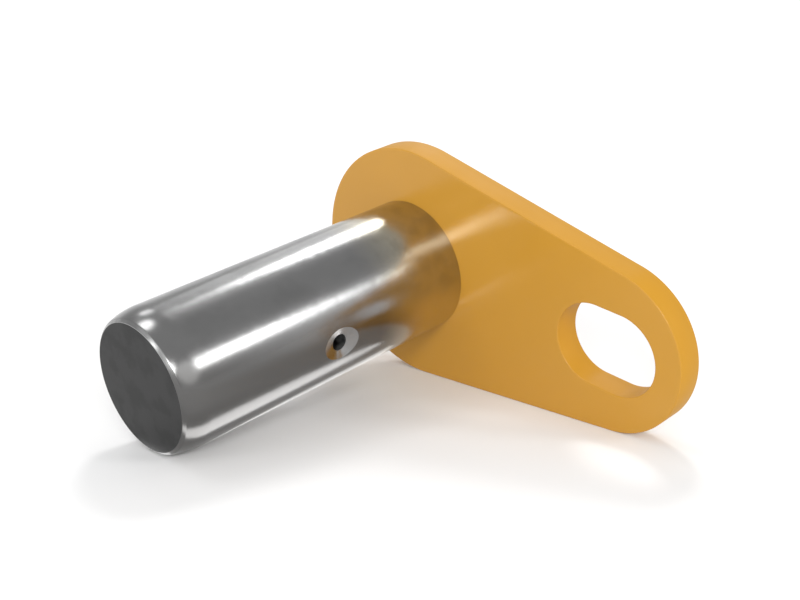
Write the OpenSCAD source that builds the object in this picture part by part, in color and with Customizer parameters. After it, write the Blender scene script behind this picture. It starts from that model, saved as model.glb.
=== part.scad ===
// Linkage pin: a greased steel pin with a flag plate welded to its head end.
// It lies as it comes to rest: the plate's straight lower edge and the lead-in of the free end touch z = 0.
// The pieces are drawn along a turning axis, with z from the plate's front face towards the free end and
// x towards the plate's tail, and as_it_lies() then lays them down together.

/* [Pin] */
// Diameter of the pin's running surface
pin_d = 50; // [30:1:60]
// Length that stands out in front of the flag plate
shank_l = 122.75; // [90:0.25:250]
// Length of the curved lead-in, with the chamfer
lead_l = 9.8; // [4:0.1:15]
// Radius of the lead-in's arc, which is tangent to the running surface
lead_r = 24; // [18:0.5:60]
// Chamfer round the free end
end_chamfer = 1; // [0.4:0.1:2]
// Width of the shoulder that seats on the plate's front face
shoulder_w = 3; // [1:0.5:6]
// Length that stands out behind the weld bead
head_margin = 1; // [0.5:0.1:6]
// Chamfer round the head end
head_chamfer = 0.8; // [0.2:0.1:1.5]

/* [Grease way] */
// Distance from the plate's front face to the grease hole
hole_pos = 58.6; // [30:0.1:75]
// Diameter of the grease hole
hole_d = 6; // [3:0.5:8]
// Width of the countersink, measured along the pin
sink_d = 15; // [10:0.5:20]
// Depth of the countersink below the running surface
sink_depth = 1.5; // [0.6:0.1:3]
// Diameter of the gallery drilled from the head end
gallery_d = 5; // [3:0.5:6]
// Length that the gallery runs on past the middle of the grease hole
gallery_overrun = 4; // [0:0.5:10]

/* [Flag plate] */
// Thickness of the plate
plate_t = 10; // [6:0.5:20]
// Radius of the plate's round end about the pin
head_r = 45; // [40:1:70]
// Radius of the plate's tail
tail_r = 30; // [20:1:40]
// Distance from the pin's axis to the centre of the tail
tail_pos = 90; // [75:1:160]
// Width of the keeper slot
slot_w = 30; // [10:1:36]
// How much longer the slot is than it is wide
slot_travel = 10; // [1:1:22]
// Clearance all round the pin's spigot in the plate's bore
bore_gap = 0.1; // [0.05:0.05:0.5]

/* [Weld bead] */
// Leg of the fillet weld, along the pin and along the plate
weld_leg = 6; // [3:0.5:8]
// Clearance between the bead and the pin's spigot
weld_gap = 0.02; // [0.01:0.01:0.1]

/* [Grease nipple] */
// Nominal diameter of the nipple's thread
thread_d = 8; // [7:0.5:10]
// Length of the thread
thread_l = 5.5; // [4:0.5:8]
// Clearance all round the thread in its port
thread_gap = 0.05; // [0.02:0.01:0.1]
// Depth of the port past the end of the thread
port_margin = 3; // [1:0.5:6]
// Height of the hexagon
hex_l = 3.5; // [2.5:0.5:6]
// How much wider the hexagon is across its flats than the thread
hex_step = 1; // [0.5:0.5:4]
// Diameter of the neck behind the coupling head
neck_d = 5; // [4.8:0.1:5.6]
// Length of the neck
neck_l = 3; // [2:0.5:6]
// Diameter of the coupling head
coupler_d = 6.5; // [6:0.1:7]
// Length of the coupling head
coupler_l = 4; // [3.6:0.2:6]
// Diameter of the flat tip round the inlet
tip_d = 3.6; // [3:0.1:4.4]

/* [Check valve] */
// Diameter of the check ball
ball_d = 3; // [2.6:0.1:3.4]
// Clearance all round the ball in the nipple's bore
ball_gap = 0.2; // [0.1:0.05:0.3]
// Diameter of the inlet that the ball closes
inlet_d = 2; // [1.4:0.1:2.1]
// Length of the inlet
inlet_l = 0.5; // [0.3:0.1:1]
// Clearance between the ball and its conical seat
seat_gap = 0.02; // [0.01:0.01:0.1]
// Diameter of the spring's wire
wire_d = 0.4; // [0.25:0.05:0.5]
// Number of turns of the spring
turns = 8; // [6:1:12]
// Height of the lip that keeps the spring in
lip_l = 0.6; // [0.4:0.1:1]
// Width of the lip
lip_w = 0.6; // [0.4:0.1:0.8]
// Clearance between the spring and what it bears on, and all round it in the bore
spring_gap = 0.05; // [0.02:0.01:0.1]

/* [Hidden] */
$fn = 96;
over = 0.5;              // how far a cut runs past the face that it opens
tuck = 0.002;            // how far a tangent lies inside its circles, so that the two cross cleanly
drill_point = 118;       // angle of a drill's point
seat_angle = 45;         // half-angle of the ball's seat
hex_bevel = 30;          // slope of the bevel on the hexagon's corners
wire_sides = 6;
wire_steps = 12;         // rings in one turn of the spring

// Pin
pin_r = pin_d / 2;
spigot_r = pin_r - shoulder_w;
head_l = plate_t + weld_leg + head_margin;
lead_start = shank_l - lead_l;
mouth_r = pin_r - lead_r + sqrt(pow(lead_r, 2) - pow(lead_l - end_chamfer, 2));
face_r = mouth_r - end_chamfer;

// Nipple, along its own axis from the end of its thread
bore_r = ball_d / 2 + ball_gap;
inlet_r = inlet_d / 2;
hex_top = thread_l + hex_l;
neck_top = hex_top + neck_l;
nipple_l = neck_top + coupler_l;
inlet_z = nipple_l - inlet_l;
seat_z = inlet_z - (bore_r - inlet_r) / tan(seat_angle);
seat_apex = inlet_z + inlet_r / tan(seat_angle);
ball_z = seat_apex - ball_d / 2 / sin(seat_angle) - seat_gap;

// Spring, between the lip and the ball
coil_r = ball_d / 2 - wire_d / 2 - spring_gap;
coil_low = lip_l + wire_d / 2 + spring_gap;
coil_high = ball_z - sqrt(pow(ball_d / 2 + wire_d / 2 + spring_gap, 2) - pow(coil_r, 2));

// Rest pose: the plate's lower edge lies flat, and the lead-in's arc touches the same plane
roll = asin((head_r - tail_r) / tail_pos);
arc_rise = head_r - pin_r + lead_r;
pitch = atan(arc_rise / lead_start) - asin(lead_r / norm([lead_start, arc_rise]));
left_x = -head_r;
right_x = tail_pos * cos(roll) + tail_r;
front_y = -shank_l * cos(pitch) - face_r * sin(pitch);
plate_back_y = plate_t * cos(pitch) + head_r * sin(pitch);
tip_back_y = (head_l + nipple_l - thread_l) * cos(pitch) + tip_d / 2 * sin(pitch);
back_y = max(plate_back_y, tip_back_y);

// Lays down what was drawn along the turning axis, with the middle of its footprint at the origin
module as_it_lies() {
  translate([-(left_x + right_x) / 2, -(front_y + back_y) / 2, head_r * cos(pitch)])
    rotate([pitch, 0, 0])
      rotate([0, roll, 0])
        rotate([90, 0, 0])
          children();
}

// Half section of the turned bar: the spigot that the plate sits on, the running surface, and the lead-in,
// which the chamfer round the free end cuts at 45 degrees
module pin_section() {
  polygon([
    [0, -head_l],
    [spigot_r - head_chamfer, -head_l],
    [spigot_r, head_chamfer - head_l],
    [spigot_r, 0],
    [pin_r, 0],
    [pin_r, lead_start],
    [0, lead_start],
  ]);
  intersection() {
    translate([pin_r - lead_r, lead_start]) circle(r = lead_r);
    polygon([
      [0, lead_start],
      [face_r + lead_l, lead_start],
      [face_r, shank_l],
      [0, shank_l],
    ]);
  }
}

// A drilled hole that starts at z = 0 and ends in a drill's point
module drilled(d, depth) {
  point_l = d / 2 / tan(drill_point / 2);
  cylinder(d = d, h = depth);
  translate([0, 0, depth]) cylinder(d1 = d, d2 = 0, h = point_l);
}

// Port for the nipple, gallery and radial grease hole with its countersink
module grease_way() {
  sink_slope = (sink_d - hole_d) / 2 / sink_depth;
  translate([0, 0, -head_l - over])
    cylinder(d = thread_d + 2 * thread_gap, h = over + thread_l + port_margin);
  translate([0, 0, -head_l]) drilled(gallery_d, head_l + hole_pos + gallery_overrun);
  translate([pin_r + over, 0, hole_pos]) rotate([0, -90, 0]) drilled(hole_d, pin_r + over);
  translate([pin_r - sink_depth, 0, hole_pos])
    rotate([0, 90, 0])
      cylinder(r1 = hole_d / 2, r2 = sink_d / 2 + sink_slope * over, h = sink_depth + over);
}

module pin_shank() {
  color("dimgray")
    as_it_lies()
      difference() {
        rotate_extrude() pin_section();
        grease_way();
      }
}

// A point at radius r in the direction of the tangent point of both round ends, above or below the x axis
function tangent_point(x, r, lean, side) = [x + r * lean, side * r * sqrt(1 - pow(lean, 2))];

// Two round ends on the x axis, joined by their common tangents
module tangent_outline(near_x, near_r, far_x, far_r) {
  lean = (near_r - far_r) / (far_x - near_x);
  translate([near_x, 0]) circle(r = near_r);
  translate([far_x, 0]) circle(r = far_r);
  polygon([
    tangent_point(near_x, near_r - tuck, lean, -1),
    tangent_point(far_x, far_r - tuck, lean, -1),
    tangent_point(far_x, far_r - tuck, lean, 1),
    tangent_point(near_x, near_r - tuck, lean, 1),
  ]);
}

module flag_plate() {
  color("goldenrod")
    as_it_lies()
      translate([0, 0, -plate_t])
        linear_extrude(plate_t)
          difference() {
            tangent_outline(0, head_r, tail_pos, tail_r);
            circle(r = spigot_r + bore_gap);
            tangent_outline(tail_pos - slot_travel / 2, slot_w / 2, tail_pos + slot_travel / 2, slot_w / 2);
          }
}

// A fillet whose face bulges a little, from a circle through both toes
module weld_section() {
  back_off = weld_leg / 2;
  intersection() {
    square(weld_leg);
    translate([-back_off, -back_off]) circle(r = norm([weld_leg + back_off, back_off]));
  }
}

module weld_bead() {
  color("darkgoldenrod")
    as_it_lies()
      rotate_extrude()
        translate([spigot_r + weld_gap, -plate_t])
          mirror([0, 1])
            weld_section();
}

// Turns the nipple's own axis to point out of the head end, with the hexagon on the pin's end face
module in_port() {
  as_it_lies()
    translate([0, 0, thread_l - head_l])
      rotate([180, 0, 0])
        children();
}

// The hexagon, with its outer corners bevelled
module nipple_hex() {
  hex_r = (thread_d + hex_step) / 2;
  corner_r = hex_r / cos(30);
  translate([0, 0, thread_l])
    intersection() {
      cylinder(r = corner_r, h = hex_l, $fn = 6);
      cylinder(r1 = hex_r + hex_l / tan(hex_bevel), r2 = hex_r, h = hex_l);
    }
}

// Half section of the neck and of the head that a grease coupler grips
module coupling_section() {
  flare = (coupler_d - neck_d) / 2;
  polygon([
    [0, hex_top - over],
    [neck_d / 2, hex_top - over],
    [neck_d / 2, neck_top],
    [coupler_d / 2, neck_top + flare],
    [coupler_d / 2, neck_top + coupler_l / 2],
    [tip_d / 2, nipple_l],
    [0, nipple_l],
  ]);
}

module nipple_body() {
  color("silver")
    in_port()
      difference() {
        union() {
          cylinder(d = thread_d, h = thread_l);
          nipple_hex();
          rotate_extrude() coupling_section();
        }
        translate([0, 0, -over]) cylinder(r = bore_r - lip_w, h = lip_l + 2 * over);
        translate([0, 0, lip_l]) cylinder(r = bore_r, h = seat_z - lip_l);
        translate([0, 0, seat_z]) cylinder(r1 = bore_r, r2 = inlet_r, h = inlet_z - seat_z);
        translate([0, 0, inlet_z]) cylinder(r = inlet_r, h = inlet_l + over);
      }
}

module check_ball() {
  color("lightsteelblue")
    in_port()
      translate([0, 0, ball_z])
        sphere(d = ball_d);
}

// Height of the spring's wire after a number of turns: the first and the last turn lie closed
function coil_z(turn) =
  let (open_turns = turns - 2, open_rise = coil_high - coil_low - 2 * wire_d)
  turn < 1 ? coil_low + wire_d * turn :
  turn > turns - 1 ? coil_high - wire_d * (turns - turn) :
  coil_low + wire_d + open_rise * (turn - 1) / open_turns;

// A point on the wire's skin
function wire_point(turn, side) =
  let (around = 360 * turn, across = 360 * side / wire_sides, r = coil_r + wire_d / 2 * cos(across))
  [r * cos(around), r * sin(around), coil_z(turn) + wire_d / 2 * sin(across)];

module check_spring() {
  rings = turns * wire_steps;
  points = [for (i = [0:rings]) for (j = [0:wire_sides - 1]) wire_point(i / wire_steps, j)];
  skin = [
    for (i = [0:rings - 1])
      for (j = [0:wire_sides - 1])
        let (next = (j + 1) % wire_sides, low = i * wire_sides, high = low + wire_sides)
        [low + j, high + j, high + next, low + next]
  ];
  first_end = [for (j = [0:wire_sides - 1]) j];
  last_end = [for (j = [wire_sides - 1:-1:0]) rings * wire_sides + j];
  color("gainsboro")
    in_port()
      polyhedron(points, concat(skin, [first_end, last_end]));
}

pin_shank();
flag_plate();
weld_bead();
nipple_body();
check_ball();
check_spring();
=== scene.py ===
# %% [markdown]
# # A linkage pin with its flag plate
#
# A linkage pin is the steel axle of a moving joint. Its flag plate is welded to one end, and a bolt through
# the plate's slot keeps the pin from turning and from working out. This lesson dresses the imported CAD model
# of such a pin: it models each piece again with the small edges and marks that a workshop leaves on it,
# gives it a finish made of nodes, and lights it as in a small studio.
#
# The CAD model is the fixed frame. It says where every piece sits, and it is loaded before anything is made.

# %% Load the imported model
import math

import bmesh
import bpy
from mathutils import Matrix, Quaternion, Vector


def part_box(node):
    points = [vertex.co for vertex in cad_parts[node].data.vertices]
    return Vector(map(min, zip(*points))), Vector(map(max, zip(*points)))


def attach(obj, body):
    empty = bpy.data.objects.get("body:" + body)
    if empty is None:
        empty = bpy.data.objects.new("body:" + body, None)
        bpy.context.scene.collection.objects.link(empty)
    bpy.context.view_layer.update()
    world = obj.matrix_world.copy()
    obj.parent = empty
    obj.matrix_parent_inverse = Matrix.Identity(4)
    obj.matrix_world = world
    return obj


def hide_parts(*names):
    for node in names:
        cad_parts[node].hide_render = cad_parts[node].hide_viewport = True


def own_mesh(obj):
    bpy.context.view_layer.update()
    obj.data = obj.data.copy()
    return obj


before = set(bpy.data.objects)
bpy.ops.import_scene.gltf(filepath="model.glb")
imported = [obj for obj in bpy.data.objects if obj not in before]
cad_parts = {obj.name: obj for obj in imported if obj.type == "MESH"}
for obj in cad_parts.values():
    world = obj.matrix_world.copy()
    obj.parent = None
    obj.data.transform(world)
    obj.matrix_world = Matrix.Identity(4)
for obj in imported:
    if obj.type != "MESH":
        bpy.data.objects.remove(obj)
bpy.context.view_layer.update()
print("CAD nodes:", ", ".join(sorted(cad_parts)))

# %% [markdown]
# ## The values of the part
#
# These are the lengths from the part's source, written in millimetres and turned into metres once. Every
# piece below is drawn from them, so that it fills the same space as the solid that it stands for.

# %% Lengths of the part
MM = 0.001
PIN_R = 25 * MM
SHANK_L = 122.75 * MM
LEAD_L = 9.8 * MM
LEAD_R = 24 * MM
END_CHAMFER = 1 * MM
SPIGOT_R = 22 * MM
HEAD_L = 17 * MM
HEAD_CHAMFER = 0.8 * MM

HOLE_POS = 58.6 * MM
HOLE_R = 3 * MM
SINK_R = 7.5 * MM
SINK_DEPTH = 1.5 * MM
GALLERY_R = 2.5 * MM
GALLERY_OVERRUN = 4 * MM
DRILL_POINT = math.radians(118 / 2)
OVER = 0.5 * MM

PLATE_T = 10 * MM
HEAD_R = 45 * MM
TAIL_R = 30 * MM
REACH = 90 * MM
SLOT_R = 15 * MM
SLOT_TRAVEL = 10 * MM
BORE_R = SPIGOT_R + 0.1 * MM

WELD_LEG = 6 * MM
WELD_R = SPIGOT_R + 0.02 * MM

LEAD_START = SHANK_L - LEAD_L
MOUTH_R = PIN_R - LEAD_R + math.sqrt(LEAD_R**2 - (LEAD_L - END_CHAMFER) ** 2)
FACE_R = MOUTH_R - END_CHAMFER
print(f"free end: mouth radius {MOUTH_R / MM:.3f} mm, face radius {FACE_R / MM:.3f} mm")

# %% [markdown]
# ## From the lathe to the table
#
# A turned piece is easiest to draw on its own axis: z runs from the plate's front face to the pin's free end,
# and x points to the plate's tail. The real part doesn't stand that way. It lies on the plate's straight
# lower edge and on the curved lead-in at its free end, so it is rolled and pitched a little. One matrix does
# that for every piece, and its inverse, in a Mapping node, gives the materials the lathe's coordinates back.

# %% Resting pose
ROLL = math.asin((HEAD_R - TAIL_R) / REACH)
ARC_RISE = HEAD_R - PIN_R + LEAD_R
PITCH = math.atan(ARC_RISE / LEAD_START) - math.asin(LEAD_R / math.hypot(LEAD_START, ARC_RISE))
PLATE_CENTRE = Vector((-36.8706, 48.6793, 44.3348)) * MM
TURNED_TO_REST = (
    Matrix.Rotation(PITCH, 4, "X") @ Matrix.Rotation(ROLL, 4, "Y") @ Matrix.Rotation(math.pi / 2, 4, "X")
)
LAID = Matrix.Translation(PLATE_CENTRE) @ TURNED_TO_REST
print(f"rolled {math.degrees(ROLL):.2f} and pitched {math.degrees(PITCH):.2f} degrees")

# %% [markdown]
# ## The camera
#
# The camera looks at the part as the photographer did: from the right of its free end, from a little above.
# Its place and its lens were worked out from the edges of the plate and the pin in the photograph.

# %% Camera
CAMERA_AT = Vector((0.295427, -0.278844, 0.152825))
CAMERA_LOOKS = Vector((-0.69548, 0.67225, -0.25375))
CAMERA_TILT = math.radians(0.16)

camera = bpy.data.objects.new("camera", bpy.data.cameras.new("camera"))
camera.data.lens = 57.23
camera.data.sensor_width = 36
camera.data.clip_start = 0.01
camera.location = CAMERA_AT
camera.rotation_mode = "QUATERNION"
camera.rotation_quaternion = CAMERA_LOOKS.to_track_quat("-Z", "Y") @ Quaternion((0, 0, 1), CAMERA_TILT)
bpy.context.scene.collection.objects.link(camera)
bpy.context.scene.camera = camera
bpy.context.scene.view_settings.view_transform = "Standard"
print(f"camera {CAMERA_AT.length:.3f} m from the middle of the part")

# %% [markdown]
# ## The studio
#
# Polished steel shows little of its own colour. What it shows is the room, so the long streaks on the pin are
# pictures of lamps. Each streak and each spot on the lead-in points back at one lamp, and the lamps stand
# where those reflections say. They are suns with a wide disc: such a lamp acts as a softbox that is far away,
# gives the floor the same light everywhere, and makes a streak that runs the whole length of the pin.

# %% Lamps
def towards(azimuth, elevation):
    """Unit vector to a point of the sky: azimuth 0 is in front of the part, at -Y, and 90 is at +X."""
    a, e = math.radians(azimuth), math.radians(elevation)
    return Vector((math.sin(a) * math.cos(e), -math.cos(a) * math.cos(e), math.sin(e)))


def softbox(name, azimuth, elevation, width, brightness):
    """A round, far softbox. Its place and width are angles in degrees, and its brightness is what a mirror
    would show of it, where 1 is white."""
    lamp = bpy.data.lights.new(name, "SUN")
    lamp.angle = math.radians(width)
    lamp.energy = brightness * math.pi * math.sin(lamp.angle / 2) ** 2
    holder = bpy.data.objects.new(name, lamp)
    holder.rotation_euler = towards(azimuth, elevation).to_track_quat("Z", "Y").to_euler()
    bpy.context.scene.collection.objects.link(holder)
    return holder


softboxes = (
    softbox("front_softbox", azimuth=0, elevation=28, width=70, brightness=0.36),
    softbox("front_bright_box", azimuth=-5, elevation=27, width=12, brightness=6),
    softbox("front_right_box", azimuth=35, elevation=22, width=12, brightness=35),
    softbox("upper_streak_box", azimuth=-140, elevation=47, width=13, brightness=22),
    softbox("upper_glow_box", azimuth=-138, elevation=32, width=34, brightness=0.9),
    softbox("upper_companion_box", azimuth=-106, elevation=44, width=12, brightness=3),
    softbox("middle_streak_box", azimuth=115, elevation=26, width=14, brightness=14),
    softbox("left_top_box", azimuth=-70, elevation=66, width=18, brightness=5),
    softbox("right_front_box", azimuth=62, elevation=27, width=17, brightness=12),
)
print("softboxes:", ", ".join(lamp.name for lamp in softboxes))

# %% [markdown]
# The room is a pale grey overhead and goes over to white at the foot of its walls, so that the floor has no
# visible end.

# %% Room
ROOM_GREY = 0.55
WALL_WHITE_TO, WALL_GREY_FROM = 10, 26
world = bpy.data.worlds.new("pale_room")
bpy.context.scene.world = world
world.use_nodes = True
tree = world.node_tree
direction = tree.nodes.new("ShaderNodeTexCoord").outputs["Generated"]
upward = tree.nodes.new("ShaderNodeSeparateXYZ")
tree.links.new(direction, upward.inputs["Vector"])
wall = tree.nodes.new("ShaderNodeMapRange")
wall.interpolation_type = "SMOOTHSTEP"
tree.links.new(upward.outputs["Z"], wall.inputs["Value"])
wall.inputs["From Min"].default_value = math.sin(math.radians(WALL_WHITE_TO))
wall.inputs["From Max"].default_value = math.sin(math.radians(WALL_GREY_FROM))
wall.inputs["To Min"].default_value = 1.0
wall.inputs["To Max"].default_value = ROOM_GREY
tree.links.new(wall.outputs["Result"], tree.nodes["Background"].inputs["Color"])
print(f"room: white below {WALL_WHITE_TO} degrees, grey {ROOM_GREY} above {WALL_GREY_FROM}")

# %% [markdown]
# The lowest streaks come from below the pin, as on a product table that is lit from under its glass. Here two
# narrow strip lamps lie on the table and face up, one beside the pin and one under it. They aren't seen
# themselves. The one beside the pin is an ellipse, so that its streak runs out in a point at both ends, where
# a rectangle would end in a square cut. A last softbox, low on the right, shows only in the curve of the
# lead-in. Light linking keeps the light of these three on the pin, so that they put no spot on the plate.

# %% Lamps for the pin alone
STRIP_HEIGHT = 1
pin_only = bpy.data.collections.new("pin_only")


def table_strip(name, shape, centre_x, centre_y, wide, long, power):
    """A narrow lamp that lies on the table, runs along the pin and faces up. Lengths are in millimetres."""
    strip = bpy.data.lights.new(name, "AREA")
    strip.shape = shape
    strip.size, strip.size_y = wide * MM, long * MM
    strip.energy = power
    holder = bpy.data.objects.new(name, strip)
    holder.location = Vector((centre_x, centre_y, STRIP_HEIGHT)) * MM
    holder.rotation_euler = (math.pi, 0, 0)
    holder.visible_camera = False
    bpy.context.scene.collection.objects.link(holder)
    return holder


for lamp in (
    table_strip("side_strip", "ELLIPSE", centre_x=-12.5, centre_y=-21, wide=11, long=118, power=0.0114),
    table_strip("under_strip", "RECTANGLE", centre_x=-39, centre_y=-12, wide=20, long=116, power=0.0088),
    softbox("lead_in_box", azimuth=92, elevation=19, width=32, brightness=1.5),
):
    lamp.light_linking.receiver_collection = pin_only
    print(f"{lamp.name} lights the pin alone")

# %% [markdown]
# ## Small helpers for nodes
#
# A material is a small circuit. The helper below adds one node, sets its options and plugs in its inputs, so
# that the materials further down read as recipes.

# %% Helpers for nodes
def node(tree, kind, inputs=None, **options):
    """Adds a shader node. An input is either a plain value or the output socket that feeds it."""
    made = tree.nodes.new("ShaderNode" + kind)
    for option, value in options.items():
        setattr(made, option, value)
    for socket, value in (inputs or {}).items():
        if isinstance(value, bpy.types.NodeSocket):
            tree.links.new(value, made.inputs[socket])
        else:
            made.inputs[socket].default_value = value
    return made


def grey(level):
    return (level, level, level, 1)


def blend_colours(tree, share, low, high):
    """Mixes two colours, and returns the socket with the result. A Mix node has sockets for every kind of
    data under the same names, so those for colours are picked by their places."""
    mix = node(tree, "Mix", {0: share, 6: low, 7: high}, data_type="RGBA")
    return mix.outputs[2]


def ramp(tree, value, low, high, at_low=0.0, at_high=1.0, soft=True):
    """Maps value from low..high to at_low..at_high, and returns the socket with the result."""
    made = node(
        tree,
        "MapRange",
        {"Value": value, "From Min": low, "From Max": high, "To Min": at_low, "To Max": at_high},
        interpolation_type="SMOOTHSTEP" if soft else "LINEAR",
    )
    return made.outputs["Result"]


print("helpers for nodes: node, grey, blend_colours and ramp")

# %% [markdown]
# ## Where a pattern sits
#
# Tool marks follow the lathe, so most patterns are laid out on its axis. A Mapping node turns the place of a
# point on the lying part back into the lathe's coordinates. The painted shade and painted reflection that
# belong to how the part lies follow the height above the table.

# %% Helpers for materials
def lathe_coordinates(tree):
    """Object coordinates turned back into the lathe's: x to the tail, z to the free end, in metres."""
    place = node(tree, "TexCoord").outputs["Object"]
    turn = node(
        tree,
        "Mapping",
        {"Vector": place, "Location": PLATE_CENTRE, "Rotation": TURNED_TO_REST.to_euler()},
        vector_type="TEXTURE",
    )
    return turn.outputs["Vector"]


def height_above_table(tree):
    """How high a point of the lying part is, in metres."""
    place = node(tree, "TexCoord").outputs["Object"]
    return node(tree, "SeparateXYZ", {"Vector": place}).outputs["Z"]


def new_material(name, metal=True):
    """A material with a node tree and a Principled shader, as a metal or as a paint."""
    made = bpy.data.materials.new(name)
    made.use_nodes = True
    tree = made.node_tree
    shader = tree.nodes["Principled BSDF"]
    shader.inputs["Metallic"].default_value = 1.0 if metal else 0.0
    return made, tree, shader


print("helpers for materials: lathe_coordinates, height_above_table and new_material")

# %% [markdown]
# ## Effects that several finishes share
#
# Smudges, fine tool marks and a painted skin turn up on more than one piece, so each is a node group. A group
# puts out only a mask or a height. The shader, and everything that is the same all over, stays in the
# material.

# %% Group helper
def new_group(name, inputs, output):
    """An empty node group with float or vector inputs and one float output."""
    tree = bpy.data.node_groups.new(name, "ShaderNodeTree")
    for label, kind, default in inputs:
        socket = tree.interface.new_socket(label, in_out="INPUT", socket_type=kind)
        if default is not None:
            socket.default_value = default
    tree.interface.new_socket(output, in_out="OUTPUT", socket_type="NodeSocketFloat")
    entry = tree.nodes.new("NodeGroupInput")
    leave = tree.nodes.new("NodeGroupOutput")
    return tree, entry.outputs, leave.inputs[output]


def use_group(tree, group, inputs):
    made = node(tree, "Group", node_tree=group)
    for socket, value in inputs.items():
        if isinstance(value, bpy.types.NodeSocket):
            tree.links.new(value, made.inputs[socket])
        else:
            made.inputs[socket].default_value = value
    return made.outputs[0]


VECTOR, FLOAT = "NodeSocketVector", "NodeSocketFloat"
print("helpers for groups: new_group and use_group")

# %% Group: smudges
SMUDGE_EDGE = 0.25
smudges, given, result = new_group(
    "smudges", [("Vector", VECTOR, None), ("Scale", FLOAT, 60.0), ("Cover", FLOAT, 0.5)], "Mask"
)
cloud = node(
    smudges,
    "TexNoise",
    {"Vector": given["Vector"], "Scale": given["Scale"], "Detail": 3.0, "Roughness": 0.5},
)
edge = node(smudges, "Math", {0: given["Cover"], 1: SMUDGE_EDGE}, operation="ADD")
mask = node(
    smudges,
    "MapRange",
    {"Value": cloud.outputs["Fac"], "From Min": given["Cover"], "From Max": edge.outputs[0]},
    interpolation_type="SMOOTHSTEP",
)
smudges.links.new(mask.outputs["Result"], result)
print(f"group {smudges.name} puts out a mask")

# %% Group: fine marks
marks, given, result = new_group(
    "fine_marks",
    [("Vector", VECTOR, None), ("Stretch", VECTOR, (1.0, 1.0, 1.0)), ("Scale", FLOAT, 1.0)],
    "Height",
)
stretched = node(marks, "VectorMath", {0: given["Vector"], 1: given["Stretch"]}, operation="MULTIPLY")
lines = node(
    marks,
    "TexNoise",
    {"Vector": stretched.outputs["Vector"], "Scale": given["Scale"], "Detail": 3.0, "Roughness": 0.65},
)
marks.links.new(lines.outputs["Fac"], result)
print(f"group {marks.name} puts out a height")

# %% Group: painted skin
SAG_SHARE = 1.5
skin, given, result = new_group("painted_skin", [("Vector", VECTOR, None), ("Scale", FLOAT, 500.0)], "Height")
peel = node(skin, "TexNoise", {"Vector": given["Vector"], "Scale": given["Scale"], "Detail": 1.0})
sag = node(skin, "TexNoise", {"Vector": given["Vector"], "Scale": 90.0, "Detail": 1.0})
both = node(
    skin, "Math", {0: sag.outputs["Fac"], 1: SAG_SHARE, 2: peel.outputs["Fac"]}, operation="MULTIPLY_ADD"
)
skin.links.new(both.outputs[0], result)
print("node groups:", ", ".join(group.name for group in bpy.data.node_groups))

# %% [markdown]
# ## Steel
#
# The running surface is ground and polished. It is a plain metal with a fairly low roughness, and what makes
# it look handled is a faint cloud of smudges and specks that are a little duller than the rest. Grinding also
# leaves faint waves, which two Bump nodes in a row can show: the waves feed the Normal of the grinding lines.
#
# Next to the plate the welding has left a pale yellow heat tint, and the same colour also serves as painted
# reflection of the amber plate: it is made paler low on that collar as painted reflected light, and darker
# again at the very bottom as painted contact shade. Low on the part the steel is darkened as painted shade,
# for the darker reflection of its lower side. These follow the height above the table, or the distance from
# the plate, through a ramp. The free end is only faced off, dull and dark, while the chamfer and the
# countersink are fresh cuts, brighter than the face.

# %% Material: ground steel
STEEL = 0.27
STEEL_SMUDGED = 0.23
# painted shade: the steel gets darker low down, for the darker reflection of its lower side
LOW_SHADE = (0.130, 0.128, 0.126, 1)
LOW_SHADE_FROM, LOW_SHADE_TO = 42 * MM, 30 * MM
# a pale yellow heat tint near the plate that is also painted reflection of the plate; paler low down as
# painted reflected light, darker again at the very bottom as painted contact shade
TINT_AND_REFLECTION = (0.46, 0.43, 0.34, 1)
STAINED_TINT_AND_REFLECTION = (0.39, 0.36, 0.28, 1)
PALE_TINT_AND_REFLECTION = (0.66, 0.62, 0.53, 1)
PALE_FROM, PALE_TO = 46 * MM, 32 * MM
CONTACT_SHADE_FROM, CONTACT_SHADE_TO = 25 * MM, 19 * MM
TINT_FROM, TINT_TO = 42 * MM, 15 * MM
POLISH, SMUDGE_DULLS, SPECK_DULLS = 0.2, 0.04, 0.03


def paint_low_shade(tree, height, unshaded_colour):
    """Darkens the colour low down on the part: painted shade, for the darker reflection of its lower side."""
    return blend_colours(tree, ramp(tree, height, LOW_SHADE_FROM, LOW_SHADE_TO), unshaded_colour, LOW_SHADE)


ground_steel, tree, shader = new_material("ground_steel")
lathe = lathe_coordinates(tree)
along = node(tree, "SeparateXYZ", {"Vector": lathe}).outputs["Z"]
handled = use_group(tree, smudges, {"Vector": lathe, "Scale": 45.0, "Cover": 0.46})
specks = use_group(tree, smudges, {"Vector": lathe, "Scale": 160.0, "Cover": 0.45})
mottle = use_group(tree, smudges, {"Vector": lathe, "Scale": 150.0, "Cover": 0.42})
height = height_above_table(tree)
unshaded_colour = blend_colours(tree, handled, grey(STEEL), grey(STEEL_SMUDGED))
# painted shade low down on the part
bare = paint_low_shade(tree, height, unshaded_colour)
warm_tint_and_reflection = blend_colours(tree, mottle, TINT_AND_REFLECTION, STAINED_TINT_AND_REFLECTION)
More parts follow.
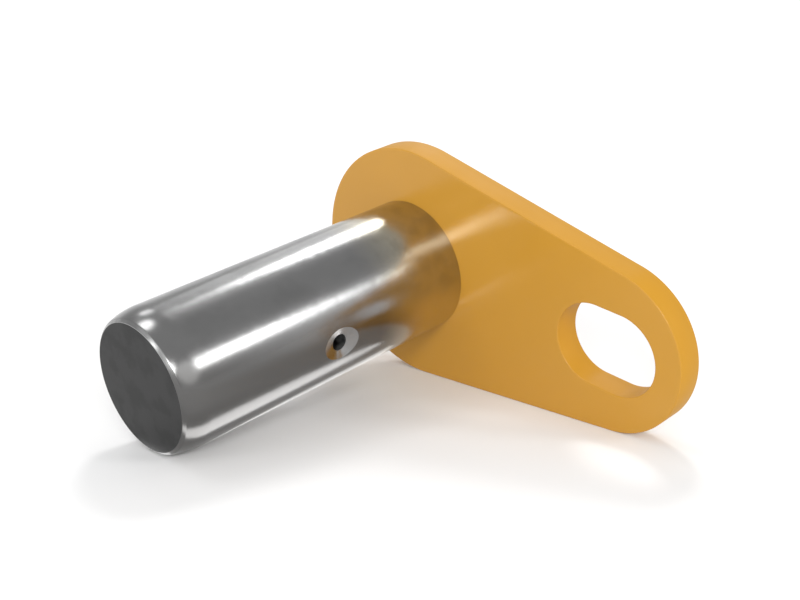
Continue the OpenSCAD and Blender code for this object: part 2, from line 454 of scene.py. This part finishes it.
# paler low down as painted reflected light, back to the darker tint at the very bottom as painted contact
# shade
pale = ramp(tree, height, PALE_FROM, PALE_TO)
pale = ramp(tree, height, CONTACT_SHADE_TO, CONTACT_SHADE_FROM, 0.0, pale)
warm_tint_and_reflection = blend_colours(tree, pale, warm_tint_and_reflection, PALE_TINT_AND_REFLECTION)
tinted = ramp(tree, along, TINT_FROM, TINT_TO)
tree.links.new(blend_colours(tree, tinted, bare, warm_tint_and_reflection), shader.inputs["Base Color"])
dull = node(tree, "Math", {0: handled, 1: SMUDGE_DULLS, 2: POLISH}, operation="MULTIPLY_ADD")
speckled = node(tree, "Math", {0: specks, 1: SPECK_DULLS, 2: dull.outputs[0]}, operation="MULTIPLY_ADD")
tree.links.new(speckled.outputs[0], shader.inputs["Roughness"])
grinding = use_group(tree, marks, {"Vector": lathe, "Stretch": (30.0, 30.0, 1500.0)})
waves = node(tree, "TexNoise", {"Vector": lathe, "Scale": 240.0, "Detail": 2.0}).outputs["Fac"]
wavy = node(tree, "Bump", {"Height": waves, "Strength": 0.25, "Distance": 0.0001})
bump = node(
    tree,
    "Bump",
    {"Height": grinding, "Strength": 0.03, "Distance": 0.00004, "Normal": wavy.outputs["Normal"]},
)
tree.links.new(bump.outputs["Normal"], shader.inputs["Normal"])
print(f"ground steel: straw up to {TINT_FROM / MM:.0f} mm from the plate, painted_shade below {LOW_SHADE_FROM / MM:.0f} mm")

# %% Materials: faced ends
DIRT_DULLS = 0.04


def faced(name, clean, dirty, roughness, ring_depth):
    """Steel that was faced off on the lathe, with the fine rings that the tool leaves."""
    made, tree, shader = new_material(name)
    lathe = lathe_coordinates(tree)
    dirt = use_group(tree, smudges, {"Vector": lathe, "Scale": 130.0, "Cover": 0.42})
    tree.links.new(blend_colours(tree, dirt, grey(clean), grey(dirty)), shader.inputs["Base Color"])
    dulled = ramp(tree, dirt, 0.0, 1.0, roughness, roughness + DIRT_DULLS)
    tree.links.new(dulled, shader.inputs["Roughness"])
    flat = node(tree, "VectorMath", {0: lathe, 1: (1.0, 1.0, 0.0)}, operation="MULTIPLY").outputs["Vector"]
    radius = node(tree, "VectorMath", {0: flat}, operation="LENGTH").outputs["Value"]
    rings = node(tree, "TexNoise", {"W": radius, "Scale": 1600.0, "Detail": 2.0}, noise_dimensions="1D")
    bump = node(tree, "Bump", {"Height": rings.outputs["Fac"], "Strength": ring_depth, "Distance": 0.00005})
    tree.links.new(bump.outputs["Normal"], shader.inputs["Normal"])
    return made


faced_steel = faced("faced_steel", clean=0.045, dirty=0.040, roughness=0.44, ring_depth=0.1)
head_steel = faced("head_steel", clean=0.21, dirty=0.18, roughness=0.34, ring_depth=0.5)
print("faced ends ready")

# %% [markdown]
# The chamfer gets the same painted shade low down as the running surface. On the drilled wall the smudges
# are the other way round: they are grease, and so smoother than the wall.

# %% Materials: fresh cuts, countersink and drilled wall
def smudged_metal(name, scale, cover, clean, smudged, low_shade_painted=False):
    """A bare metal with smudges. Clean and smudged are each a colour and a roughness."""
    made, tree, shader = new_material(name)
    mask = use_group(tree, smudges, {"Vector": lathe_coordinates(tree), "Scale": scale, "Cover": cover})
    colour = blend_colours(tree, mask, clean[0], smudged[0])
    # painted shade low down, as on the running surface
    if low_shade_painted:
        colour = paint_low_shade(tree, height_above_table(tree), colour)
    tree.links.new(colour, shader.inputs["Base Color"])
    tree.links.new(ramp(tree, mask, 0.0, 1.0, clean[1], smudged[1]), shader.inputs["Roughness"])
    return made


cut_steel = smudged_metal(
    "cut_steel", scale=200.0, cover=0.5, clean=(grey(0.30), 0.22), smudged=(grey(0.24), 0.26), low_shade_painted=True
)
sink_steel = smudged_metal(
    "sink_steel", scale=200.0, cover=0.5, clean=(grey(0.28), 0.22), smudged=(grey(0.24), 0.26)
)
drilled_steel = smudged_metal(
    "drilled_steel", scale=300.0, cover=0.4, clean=(grey(0.34), 0.5), smudged=(grey(0.24), 0.3)
)
print("steel finishes ready")

# %% [markdown]
# ## Paint
#
# The plate is flame-cut steel under a satin amber paint. Paint is never quite flat: it has a faint peel, it
# is a shade lighter or darker from place to place, and on the cut edge the fine upright drag lines of the
# flame show through and take its gloss. The weld bead took the same paint.

# %% Material: satin amber paint
AMBER = (0.475, 0.236, 0.025, 1)
AMBER_DEEP = (0.462, 0.229, 0.024, 1)
SHEEN_DULLS = 0.02


def satin_paint(name, roughness, gloss, drag_lines):
    """Amber paint with a plain roughness and gloss, and the height of the flame's drag lines under it."""
    made, tree, shader = new_material(name, metal=False)
    lathe = lathe_coordinates(tree)
    shade = use_group(tree, smudges, {"Vector": lathe, "Scale": 22.0, "Cover": 0.35})
    tree.links.new(blend_colours(tree, shade, AMBER, AMBER_DEEP), shader.inputs["Base Color"])
    sheen = use_group(tree, smudges, {"Vector": lathe, "Scale": 70.0, "Cover": 0.4})
    dulled = ramp(tree, sheen, 0.0, 1.0, roughness, roughness + SHEEN_DULLS)
    tree.links.new(dulled, shader.inputs["Roughness"])
    shader.inputs["Specular IOR Level"].default_value = gloss
    peel = use_group(tree, skin, {"Vector": lathe})
    drags = use_group(tree, marks, {"Vector": lathe, "Stretch": (900.0, 900.0, 40.0)})
    height = node(tree, "Math", {0: drags, 1: drag_lines, 2: peel}, operation="MULTIPLY_ADD")
    bump = node(tree, "Bump", {"Height": height.outputs[0], "Strength": 0.06, "Distance": 0.0001})
    tree.links.new(bump.outputs["Normal"], shader.inputs["Normal"])
    return made


plate_enamel = satin_paint("plate_enamel", roughness=0.2, gloss=0.4, drag_lines=0.0)
edge_enamel = satin_paint("edge_enamel", roughness=0.48, gloss=0.08, drag_lines=1.0)
weld_enamel = satin_paint("weld_enamel", roughness=0.28, gloss=0.5, drag_lines=0.0)
print("paint finishes ready")

# %% [markdown]
# ## The nipple's finishes
#
# The nipple is bright zinc with a faint yellow cast, its ball is polished and hard, and the spring is drawn
# wire, whose die marks run along it.

# %% Materials: zinc, ball and wire
ZINC = (0.62, 0.60, 0.52, 1)
ZINC_BLOOM = (0.50, 0.46, 0.36, 1)
bright_zinc = smudged_metal(
    "bright_zinc", scale=350.0, cover=0.45, clean=(ZINC, 0.28), smudged=(ZINC_BLOOM, 0.38)
)
polished_ball = smudged_metal(
    "polished_ball", scale=900.0, cover=0.5, clean=(grey(0.6), 0.08), smudged=(grey(0.5), 0.2)
)

LINES_FROM, LINES_TO = 0.3, 0.7
drawn_wire, tree, shader = new_material("drawn_wire")
lathe = lathe_coordinates(tree)
die_marks = use_group(tree, marks, {"Vector": lathe, "Stretch": (2500.0, 2500.0, 9000.0)})
tree.links.new(blend_colours(tree, die_marks, grey(0.42), grey(0.3)), shader.inputs["Base Color"])
tree.links.new(ramp(tree, die_marks, LINES_FROM, LINES_TO, 0.28, 0.4), shader.inputs["Roughness"])
print("nipple finishes ready")

# %% [markdown]
# ## A pen and a lathe
#
# Most pieces here are turned. The real ones are made by a tool that follows an outline while the bar spins,
# and the same works in bmesh: a pen draws half an outline, and the spin operator sweeps it round. An arc of
# the outline is one vertex that is spun round the arc's centre.

# %% Helpers: pen and lathe
UP = Vector((0, 0, 1))
FULL_TURN = 2 * math.pi
LATHE_STEPS, SMALL_LATHE_STEPS = 288, 96
SAME_POINT, SLIVER = 0.001 * MM, 0.0005 * MM


def pen(bm, start, strokes):
    """Draws connected lines and arcs, and returns the last vertex. A stroke is a point (radius, height), or
    ("arc", centre, angle, steps) with the centre as (radius, height) and the angle in radians."""
    tip = bm.verts.new((start[0], 0, start[1]))
    for stroke in strokes:
        if stroke[0] == "arc":
            _, centre, angle, steps = stroke
            swept = bmesh.ops.spin(
                bm,
                geom=[tip],
                cent=(centre[0], 0, centre[1]),
                axis=(0, -1, 0),
                angle=angle,
                steps=steps,
            )
            tip = next(e for e in swept["geom_last"] if isinstance(e, bmesh.types.BMVert))
        else:
            corner = bm.verts.new((stroke[0], 0, stroke[1]))
            bm.edges.new((tip, corner))
            tip = corner
    return tip


def lathe_round(bm, steps):
    """Spins what the pen drew round the z axis into a closed skin with its faces outwards."""
    bmesh.ops.spin(
        bm,
        geom=bm.verts[:] + bm.edges[:],
        cent=(0, 0, 0),
        axis=UP,
        angle=FULL_TURN,
        steps=steps,
        use_merge=True,
    )
    bmesh.ops.remove_doubles(bm, verts=bm.verts, dist=SAME_POINT)
    bmesh.ops.dissolve_degenerate(bm, dist=SLIVER, edges=bm.edges)
    bmesh.ops.recalc_face_normals(bm, faces=bm.faces)


print(f"the lathe turns the bar in {LATHE_STEPS} steps and small work in {SMALL_LATHE_STEPS}")

# %% [markdown]
# ## Broken edges
#
# A workshop leaves no knife edge on a part that hands will hold, and a broken edge catches the light in a
# thin line. The bevel operator does it. On a turned piece the edges to break are the rings at one radius and
# one height.

# %% Helpers: broken edges
CLOSE_TO = 0.01 * MM


def round_edges(bm, edges, width, segments):
    """Breaks sharp edges, as a file or a deburring tool does."""
    bmesh.ops.bevel(
        bm,
        geom=edges,
        offset=width,
        affect="EDGES",
        segments=segments,
        profile=0.5,
        material=-1,
    )


def ring_edges(bm, radius, height):
    """The edges of a turned piece that run round it at that radius and height."""
    def on_ring(vert):
        return abs(vert.co.xy.length - radius) < CLOSE_TO and abs(vert.co.z - height) < CLOSE_TO

    return [edge for edge in bm.edges if all(on_ring(vert) for vert in edge.verts)]


print(f"a vertex is on a ring if it is within {CLOSE_TO / MM:.2f} mm of it")

# %% [markdown]
# ## From a drawing to a piece
#
# A drawn bmesh becomes an object. A hole is cut and a hexagon is joined on with a Boolean modifier, which is
# then applied, so that the piece is a plain mesh. Last, the piece is laid down and hung under an empty for
# the body it rides on, and the CAD node that it stands for is hidden.

# %% Helpers: objects and Booleans
CUT_SAME_POINT, CUT_SLIVER = 0.002 * MM, 0.001 * MM


def as_object(name, bm, materials=()):
    mesh = bpy.data.meshes.new(name)
    bm.to_mesh(mesh)
    bm.free()
    for material in materials:
        mesh.materials.append(material)
    made = bpy.data.objects.new(name, mesh)
    bpy.context.scene.collection.objects.link(made)
    return made


def combine(base, tool, operation):
    """Joins or cuts base with tool, removes tool, and leaves base as a plain mesh. The cut leaves vertices
    that lie almost on each other, and they are merged."""
    change = base.modifiers.new("combine", "BOOLEAN")
    change.operation = operation
    change.solver = "EXACT"
    change.object = tool
    result = bpy.data.meshes.new_from_object(base.evaluated_get(bpy.context.evaluated_depsgraph_get()))
    base.modifiers.clear()
    base.data = result
    bpy.data.objects.remove(tool)
    bm = bmesh.new()
    bm.from_mesh(result)
    bmesh.ops.remove_doubles(bm, verts=bm.verts, dist=CUT_SAME_POINT)
    bmesh.ops.dissolve_degenerate(bm, dist=CUT_SLIVER, edges=bm.edges)
    bm.to_mesh(result)
    bm.free()


print("helpers for objects: as_object and combine")

# %% Helper: laying a piece down
def put_in_place(piece, matrix, body, cad_node, smooth_up_to):
    """Lays a finished piece down with the CAD, shades it, and hands it to the frame. Edges that turn by more
    than smooth_up_to degrees stay sharp."""
    piece.data.transform(matrix)
    piece.data.shade_smooth()
    piece.data.set_sharp_from_angle(angle=math.radians(smooth_up_to))
    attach(piece, body)
    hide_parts(cad_node)
    low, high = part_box(cad_node)
    corners = [vert.co for vert in piece.data.vertices]
    off = max(
        max(abs(min(c[i] for c in corners) - low[i]), abs(max(c[i] for c in corners) - high[i]))
        for i in range(3)
    )
    triangles = sum(len(face.vertices) - 2 for face in piece.data.polygons)
    print(f"{piece.name}: {triangles} triangles, box within {off / MM:.2f} mm of {cad_node}")


print("helper for finished pieces: put_in_place")

# %% [markdown]
# ## The pin
#
# The pin is one turned bar. Its outline goes up the drilled gallery, round the port for the nipple, along the
# spigot that the plate sits on, out to the shoulder and along the running surface, and ends with the curved
# lead-in and its chamfer. The corners are broken by a tenth of a millimetre, because a ground pin has no
# knife edges, and that is what draws the thin bright line round its face. The radial grease hole and its
# countersink are one drill-shaped tool, cut away with a Boolean modifier.

# %% Piece: pin
PORT_R = 4.05 * MM
PORT_DEPTH = 8.5 * MM
LEAD_STEPS = 18
EDGE_BREAK = 0.12 * MM

bm = bmesh.new()
gallery_end = HOLE_POS + GALLERY_OVERRUN
lead_angle = math.asin((LEAD_L - END_CHAMFER) / LEAD_R)
pen(
    bm,
    (0, gallery_end + GALLERY_R / math.tan(DRILL_POINT)),
    [
        (GALLERY_R, gallery_end),
        (GALLERY_R, PORT_DEPTH - HEAD_L),
        (PORT_R, PORT_DEPTH - HEAD_L),
        (PORT_R, -HEAD_L),
        (SPIGOT_R - HEAD_CHAMFER, -HEAD_L),
        (SPIGOT_R, HEAD_CHAMFER - HEAD_L),
        (SPIGOT_R, 0),
        (PIN_R, 0),
        (PIN_R, LEAD_START),
        ("arc", (PIN_R - LEAD_R, LEAD_START), lead_angle, LEAD_STEPS),
        (FACE_R, SHANK_L),
        (0, SHANK_L),
    ],
)
lathe_round(bm, LATHE_STEPS)
for radius, height in ((MOUTH_R, SHANK_L - END_CHAMFER), (FACE_R, SHANK_L), (PIN_R, 0)):
    round_edges(bm, ring_edges(bm, radius, height), EDGE_BREAK, segments=2)
PIN_FINISHES = (ground_steel, faced_steel, cut_steel, drilled_steel, head_steel, sink_steel)
FACED, CUT, DRILLED, HEAD_FACED, SUNK = range(1, len(PIN_FINISHES))
cut_from = SHANK_L - END_CHAMFER + 0.05 * MM
for face in bm.faces:
    middle = face.calc_center_median()
    radius = middle.xy.length
    if middle.z > SHANK_L - CLOSE_TO:
        face.material_index = FACED
    elif middle.z < CLOSE_TO - HEAD_L and radius > PORT_R:
        face.material_index = HEAD_FACED
    elif middle.z > cut_from and radius > PORT_R:
        face.material_index = CUT
    elif radius < PORT_R + CLOSE_TO:
        face.material_index = DRILLED
pin = as_object("turned_pin", bm, PIN_FINISHES)
print(f"bar turned, {len(pin.data.polygons)} faces")

# %% Piece: pin, its grease hole
bm = bmesh.new()
sink_slope = (SINK_R - HOLE_R) / SINK_DEPTH
pen(
    bm,
    (0, -HOLE_R / math.tan(DRILL_POINT)),
    [
        (HOLE_R, 0),
        (HOLE_R, PIN_R - SINK_DEPTH),
        (SINK_R + sink_slope * OVER, PIN_R + OVER),
        (0, PIN_R + OVER),
    ],
)
lathe_round(bm, SMALL_LATHE_STEPS)
for face in bm.faces:
    face.material_index = SUNK if face.calc_center_median().z > PIN_R - SINK_DEPTH else DRILLED
turn_to_side = Matrix.Translation((0, 0, HOLE_POS)) @ Matrix.Rotation(math.pi / 2, 4, "Y")
bmesh.ops.transform(bm, matrix=turn_to_side, verts=bm.verts)
drill = as_object("drill", bm, PIN_FINISHES)
combine(pin, drill, "DIFFERENCE")
put_in_place(pin, LAID, "pin_assembly", "pin_shank", smooth_up_to=12)
pin_only.objects.link(pin)

# %% [markdown]
# ## The flag plate
#
# The plate is a flat outline with two holes. Its outline is two arcs and the straight lines that touch both,
# and the keeper slot is the same figure with equal arcs, so one helper draws both. The outline is filled,
# given a narrow inset that keeps the rim's faces tidy, and thickened with solidify. Then every rim edge is
# rounded a little, as paint and a deburring wheel leave it.

# %% Piece: flag plate
def tangent_figure(bm, near_x, near_r, far_x, far_r, steps):
    """Draws two arcs round points of the x axis and the straight lines that touch both."""
    meet = math.acos((near_r - far_r) / (far_x - near_x))
    ends = []
    for centre, radius, start, angle in (
        (near_x, near_r, meet, FULL_TURN - 2 * meet),
        (far_x, far_r, -meet, 2 * meet),
    ):
        first = bm.verts.new((centre + radius * math.cos(start), radius * math.sin(start), 0))
        swept = bmesh.ops.spin(
            bm, geom=[first], cent=(centre, 0, 0), axis=UP, angle=angle, steps=steps
        )
        ends += [first, next(e for e in swept["geom_last"] if isinstance(e, bmesh.types.BMVert))]
    bm.edges.new((ends[1], ends[2]))
    bm.edges.new((ends[3], ends[0]))


RIM = 1.2 * MM
RIM_ROUND = 0.25 * MM
bm = bmesh.new()
tangent_figure(bm, 0, HEAD_R, REACH, TAIL_R, steps=120)
tangent_figure(bm, REACH - SLOT_TRAVEL / 2, SLOT_R, REACH + SLOT_TRAVEL / 2, SLOT_R, steps=60)
bmesh.ops.create_circle(bm, cap_ends=False, radius=BORE_R, segments=160)
bmesh.ops.triangle_fill(bm, use_beauty=True, edges=bm.edges[:])
bmesh.ops.inset_region(bm, faces=bm.faces[:], use_boundary=True, use_even_offset=True, thickness=RIM)
bmesh.ops.recalc_face_normals(bm, faces=bm.faces)
bmesh.ops.solidify(bm, geom=bm.faces[:], thickness=PLATE_T)
lowest = min(vert.co.z for vert in bm.verts)
bmesh.ops.translate(bm, verts=bm.verts, vec=(0, 0, -PLATE_T - lowest))
bmesh.ops.recalc_face_normals(bm, faces=bm.faces)
SQUARE_CORNER = math.radians(80)
rim = [edge for edge in bm.edges if len(edge.link_faces) == 2 and edge.calc_face_angle() > SQUARE_CORNER]
round_edges(bm, rim, RIM_ROUND, segments=3)
CUT_EDGE = 1
NEARLY_UPRIGHT = 0.3
for face in bm.faces:
    if abs(face.normal.z) < NEARLY_UPRIGHT:
        face.material_index = CUT_EDGE
plate = as_object("cut_plate", bm, (plate_enamel, edge_enamel))
put_in_place(plate, LAID, "pin_assembly", "flag_plate", smooth_up_to=40)

# %% [markdown]
# ## The weld bead
#
# A fillet weld is laid down in small overlapping puddles. Each one leaves a curved ripple, like a row of
# coins pushed over, and where the ring closes the welder runs a little over the start. A hand is never quite
# steady, so the pace of the puddles and the size of the bead swell and shrink a little on the way round. The
# section is spun round first, and then the vertices of its outer face move outwards by the height of the
# ripples.

# %% Piece: weld bead
RIPPLES = 56
STEPS_PER_RIPPLE = 10
RIPPLE_HEIGHT, RIPPLE_BLUNTNESS, RIPPLE_MEAN = 0.32 * MM, 0.7, 0.55
CREST_LEAD = 0.75
PACE_WAVES = ((5, 0, 0.25), (13, 0, 0.12))
SWELL_WAVES = ((3, 1, 0.12 * MM), (7, 0, 0.1 * MM))
OVERRUN_AT, OVERRUN_WIDTH, OVERRUN_HEIGHT = 2.2, 0.09, 0.7 * MM
BULGE_STEPS = 12
AT_TOE = 0.01


def unsteady(waves, around):
    """Adds up waves that run round the ring. Each is a count, a start in radians and a size."""
    return sum(size * math.sin(count * around + start) for count, start, size in waves)


bm = bmesh.new()
back_off = WELD_LEG / 2
bulge_centre = Vector((WELD_R - back_off, back_off - PLATE_T))
bulge_from = math.atan2(-back_off, WELD_LEG + back_off)
bulge_angle = math.pi / 2 + 2 * bulge_from
bulge_r = math.hypot(WELD_LEG + back_off, back_off)
pen(
    bm,
    (WELD_R + WELD_LEG, -PLATE_T),
    [
        ("arc", bulge_centre, -bulge_angle, BULGE_STEPS),
        (WELD_R, -PLATE_T),
        (WELD_R + WELD_LEG, -PLATE_T),
    ],
)
lathe_round(bm, RIPPLES * STEPS_PER_RIPPLE)
for vert in bm.verts:
    around = math.atan2(vert.co.y, vert.co.x)
    section = Vector((vert.co.xy.length, vert.co.z)) - bulge_centre
    across = (bulge_from - math.atan2(section.y, section.x)) / bulge_angle
    if abs(section.length - bulge_r) > CLOSE_TO:
        continue
    crest = CREST_LEAD * (1 - (2 * across - 1) ** 2)
    phase = RIPPLES * around / FULL_TURN + crest + unsteady(PACE_WAVES, around)
    overrun = math.exp(-((around - OVERRUN_AT) / OVERRUN_WIDTH) ** 2) * math.sin(math.pi * across) ** 2
    lift = RIPPLE_HEIGHT * (abs(math.sin(math.pi * phase)) ** RIPPLE_BLUNTNESS - RIPPLE_MEAN)
    lift += unsteady(SWELL_WAVES, around)
    lift += OVERRUN_HEIGHT * overrun
    direction = section.normalized()
    if across < AT_TOE:
        direction = Vector((1, 0))
    elif across > 1 - AT_TOE:
        direction = Vector((0, -1))
    section += bulge_centre + direction * lift
    radial = vert.co.xy.normalized() * section.x
    vert.co = (radial.x, radial.y, section.y)
bmesh.ops.recalc_face_normals(bm, faces=bm.faces)
bead = as_object("rippled_bead", bm, (weld_enamel,))
put_in_place(bead, LAID, "pin_assembly", "weld_bead", smooth_up_to=50)

# %% [markdown]
# ## The grease nipple
#
# The nipple is a small turned body with a hexagon for the spanner. Its bore ends in a cone, which is the seat
# of the check ball. The body is turned in one piece with its thread, the hexagon is a six-sided prism whose
# corners are turned down by a cone, and a Boolean modifier joins the two.

# %% Piece: nipple body
THREAD_R, THREAD_ROOT, THREAD_L, THREAD_PITCH = 4 * MM, 3.45 * MM, 5.5 * MM, 1 * MM
THREAD_TURNS, THREAD_FOOT, CREST_FROM, CREST_TO = 5, 0.25, 0.4, 0.5
HEX_L, HEX_R, HEX_EDGE_BREAK = 3.5 * MM, 4.5 * MM, 0.15 * MM
HEX_HALF_SIDE = math.radians(30)
NECK_R, NECK_L = 2.5 * MM, 3 * MM
COUPLER_R, COUPLER_L = 3.25 * MM, 4 * MM
BROW_IN, BROW_UP, BROW_ARC_IN, BROW_ARC_UP = 0.2 * MM, 0.55 * MM, 0.3 * MM, 0.85 * MM
TIP_R, TIP_BREAK = 1.8 * MM, 0.1 * MM
VALVE_R, INLET_R, INLET_L = 1.7 * MM, 1 * MM, 0.5 * MM
LIP_L, LIP_R = 0.6 * MM, 1.1 * MM
HEX_TOP = THREAD_L + HEX_L
NECK_TOP = HEX_TOP + NECK_L
NIPPLE_L = NECK_TOP + COUPLER_L
INLET_Z = NIPPLE_L - INLET_L
SEAT_Z = INLET_Z - (VALVE_R - INLET_R)
IN_PORT = LAID @ Matrix.Translation((0, 0, THREAD_L - HEAD_L)) @ Matrix.Rotation(math.pi, 4, "X")

bm = bmesh.new()
thread = []
for turn in range(THREAD_TURNS):
    foot = (turn + THREAD_FOOT) * THREAD_PITCH
    thread.append((THREAD_ROOT, foot))
    thread.append((THREAD_R, foot + CREST_FROM * THREAD_PITCH))
    thread.append((THREAD_R, foot + CREST_TO * THREAD_PITCH))
thread.append((THREAD_ROOT, (THREAD_TURNS + THREAD_FOOT) * THREAD_PITCH))
pen(
    bm,
    (LIP_R, 0),
    [
        (THREAD_ROOT, 0),
        *thread,
        (THREAD_ROOT, THREAD_L + OVER),
        (NECK_R, THREAD_L + OVER),
        (NECK_R, NECK_TOP),
        (COUPLER_R - BROW_IN, NECK_TOP + BROW_UP),
        ("arc", (COUPLER_R - BROW_ARC_IN, NECK_TOP + BROW_ARC_UP), math.radians(60), 6),
        (COUPLER_R, NECK_TOP + COUPLER_L / 2),
        (TIP_R + TIP_BREAK, NIPPLE_L - TIP_BREAK),
        (TIP_R, NIPPLE_L),
        (INLET_R, NIPPLE_L),
        (INLET_R, INLET_Z),
        (VALVE_R, SEAT_Z),
        (VALVE_R, LIP_L),
        (LIP_R, LIP_L),
        (LIP_R, 0),
    ],
)
lathe_round(bm, SMALL_LATHE_STEPS)
nipple = as_object("grease_nipple", bm, (bright_zinc,))
print(f"nipple turned, {NIPPLE_L / MM:.1f} mm long")

# %% Piece: nipple body, its hexagon
bm = bmesh.new()
hex_corner = HEX_R / math.cos(HEX_HALF_SIDE)
bmesh.ops.create_cone(
    bm, cap_ends=True, segments=6, radius1=hex_corner, radius2=hex_corner, depth=HEX_L
)
upright = [edge for edge in bm.edges if abs(edge.verts[0].co.z - edge.verts[1].co.z) > HEX_L / 2]
round_edges(bm, upright, HEX_EDGE_BREAK, segments=2)
bmesh.ops.translate(bm, verts=bm.verts, vec=(0, 0, THREAD_L + HEX_L / 2))
hexagon = as_object("hexagon", bm, (bright_zinc,))
bm = bmesh.new()
pen(
    bm,
    (0, THREAD_L - OVER),
    [
        (HEX_R + HEX_L, THREAD_L - OVER),
        (HEX_R + HEX_L / math.tan(HEX_HALF_SIDE), THREAD_L),
        (HEX_R, HEX_TOP),
        (0, HEX_TOP),
    ],
)
lathe_round(bm, SMALL_LATHE_STEPS)
combine(hexagon, as_object("corner_cone", bm), "INTERSECT")
combine(nipple, hexagon, "UNION")
put_in_place(nipple, IN_PORT, "pin_assembly", "nipple_body", smooth_up_to=25)

# %% [markdown]
# ## The check ball and its spring
#
# The ball keeps its CAD solid, which is a true sphere, and gets a polished finish. The spring is a round wire
# wound round the bore's axis. The spin operator winds it: with a step along the axis for every step round it,
# a circle becomes a coil. The first and the last turn lie closed, and the turns between them are open.

# %% Pieces: check ball and spring
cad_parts["check_ball"].data.materials.clear()
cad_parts["check_ball"].data.materials.append(polished_ball)

BALL_R = 1.5 * MM
SEAT_GAP = 0.02 * MM
WIRE_R = 0.2 * MM
WIRE_GAP = 0.05 * MM
COIL_R = BALL_R - WIRE_R - WIRE_GAP
TURNS = 8
STEPS_PER_TURN = 32
COIL_LOW = LIP_L + WIRE_R + WIRE_GAP
BALL_Z = INLET_Z + INLET_R - BALL_R * math.sqrt(2) - SEAT_GAP
COIL_HIGH = BALL_Z - math.sqrt((BALL_R + WIRE_R + WIRE_GAP) ** 2 - COIL_R**2)

bm = bmesh.new()
bmesh.ops.create_circle(bm, cap_ends=True, radius=WIRE_R, segments=12)
bmesh.ops.transform(
    bm,
    matrix=Matrix.Translation((COIL_R, 0, COIL_LOW)) @ Matrix.Rotation(math.pi / 2, 4, "X"),
    verts=bm.verts,
)
end = bm.faces[:] + bm.edges[:] + bm.verts[:]
open_rise = COIL_HIGH - COIL_LOW - 4 * WIRE_R
for turns, rise in ((1, 2 * WIRE_R), (TURNS - 2, open_rise), (1, 2 * WIRE_R)):
    steps = turns * STEPS_PER_TURN
    swept = bmesh.ops.spin(
        bm,
        geom=end,
        cent=(0, 0, 0),
        axis=UP,
        dvec=(0, 0, rise / steps),
        angle=turns * FULL_TURN,
        steps=steps,
    )
    end = swept["geom_last"]
bmesh.ops.remove_doubles(bm, verts=bm.verts, dist=SLIVER)
bmesh.ops.recalc_face_normals(bm, faces=bm.faces)
spring = as_object("coil_spring", bm, (drawn_wire,))
put_in_place(spring, IN_PORT, "pin_assembly", "check_spring", smooth_up_to=50)
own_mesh(spring)

# %% [markdown]
# ## The floor
#
# The part lies on a wide, plain, pale floor. The floor is white because its colour is pale and the lamps
# light it, and it keeps the soft shadow of the part.

# %% Floor
FLOOR_SIZE = 60.0
FLOOR_DROP = 0.05 * MM
FLOOR_GREY = 0.82
bm = bmesh.new()
bmesh.ops.create_grid(bm, x_segments=1, y_segments=1, size=FLOOR_SIZE / 2)
bmesh.ops.translate(bm, verts=bm.verts, vec=(0, 0, -FLOOR_DROP))
pale_floor, tree, shader = new_material("pale_floor", metal=False)
shader.inputs["Base Color"].default_value = grey(FLOOR_GREY)
shader.inputs["Roughness"].default_value = 0.9
shader.inputs["Specular IOR Level"].default_value = 0.1
floor = as_object("floor", bm, (pale_floor,))
print(f"floor of {FLOOR_SIZE:.0f} m")
